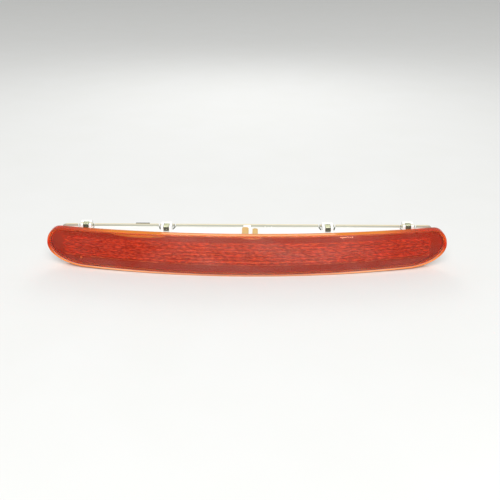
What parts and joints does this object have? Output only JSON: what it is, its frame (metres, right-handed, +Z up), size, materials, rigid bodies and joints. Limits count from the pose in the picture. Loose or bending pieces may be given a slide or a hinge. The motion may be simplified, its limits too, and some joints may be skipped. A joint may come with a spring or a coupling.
{
  "type": "third brake light",
  "caption": "Long bowed third brake light: a red lens with oval tips on a shallow white housing, sprung steel clips along the top, LED board inside and a plug socket at the back.",
  "frame": {"origin": "centre of the housing's flat rear seat, halfway up the lens at its middle", "axes": "+X along the lamp, to the right when facing the lens; the lens faces -Y and +Y points into the car body; +Z up, with the sprung clips on top"},
  "size_m": [0.35, 0.045, 0.0411],
  "materials": {
    "lens_red": "clear red moulded acrylic, polished outside, bright orange where its edges catch the light",
    "optic_red": "clear red moulded acrylic with sideways flutes",
    "housing_white": "white moulded plastic, fine satin surface",
    "reflector_white": "white moulded polycarbonate tray",
    "board_white": "glass-fibre board under white solder mask",
    "led_package": "white LED package with a clear resin dish",
    "resistor_black": "chip resistor, black body with tinned ends",
    "diode_black": "black epoxy body with tinned leads",
    "capacitor_can": "drawn aluminium can on a dark base",
    "screw_steel": "zinc-plated pan-head screw",
    "connector_black": "dark grey moulded plastic socket",
    "terminal_tin": "tinned brass blade",
    "seal_rubber": "black rubber seal",
    "vent_black": "black breather membrane",
    "clip_steel": "spring steel, dark phosphated, worn bright yellowish-green along the ramp"
  },
  "bodies": {
    "lamp": {"lens": "lens_red", "inner_optic": "optic_red", "housing": "housing_white", "reflector": "reflector_white", "circuit_board": "board_white", "led_01": "led_package", "led_02": "led_package", "led_03": "led_package", "led_04": "led_package", "led_05": "led_package", "led_06": "led_package", "led_07": "led_package", "led_08": "led_package", "led_09": "led_package", "led_10": "led_package", "led_11": "led_package", "led_12": "led_package", "led_13": "led_package", "led_14": "led_package", "led_15": "led_package", "led_16": "led_package", "resistor_1": "resistor_black", "resistor_2": "resistor_black", "resistor_3": "resistor_black", "resistor_4": "resistor_black", "diode": "diode_black", "capacitor": "capacitor_can", "board_screws": "screw_steel", "connector_shell": "connector_black", "terminal_pins": "terminal_tin", "connector_seal": "seal_rubber", "breather_vent": "vent_black"},
    "clip_1": {"spring_clip_1": "clip_steel"},
    "clip_2": {"spring_clip_2": "clip_steel"},
    "clip_3": {"spring_clip_3": "clip_steel"},
    "clip_4": {"spring_clip_4": "clip_steel"}
  },
  "joints": [
    {"name": "clip_1_flex", "type": "hinge", "parent": "lamp", "child": "clip_1", "pos_m": [-0.14, -0.0015, 0.01896], "axis": [1, 0, 0], "range_deg": [0, 15], "stiffness_Nm_per_rad": 0.3},
    {"name": "clip_2_flex", "type": "hinge", "parent": "lamp", "child": "clip_2", "pos_m": [-0.0695, -0.0067, 0.01967], "axis": [1, 0, 0], "range_deg": [0, 15], "stiffness_Nm_per_rad": 0.3},
    {"name": "clip_3_flex", "type": "hinge", "parent": "lamp", "child": "clip_3", "pos_m": [0.0695, -0.0067, 0.01967], "axis": [1, 0, 0], "range_deg": [0, 15], "stiffness_Nm_per_rad": 0.3},
    {"name": "clip_4_flex", "type": "hinge", "parent": "lamp", "child": "clip_4", "pos_m": [0.14, -0.0015, 0.01896], "axis": [1, 0, 0], "range_deg": [0, 15], "stiffness_Nm_per_rad": 0.3}
  ]
}
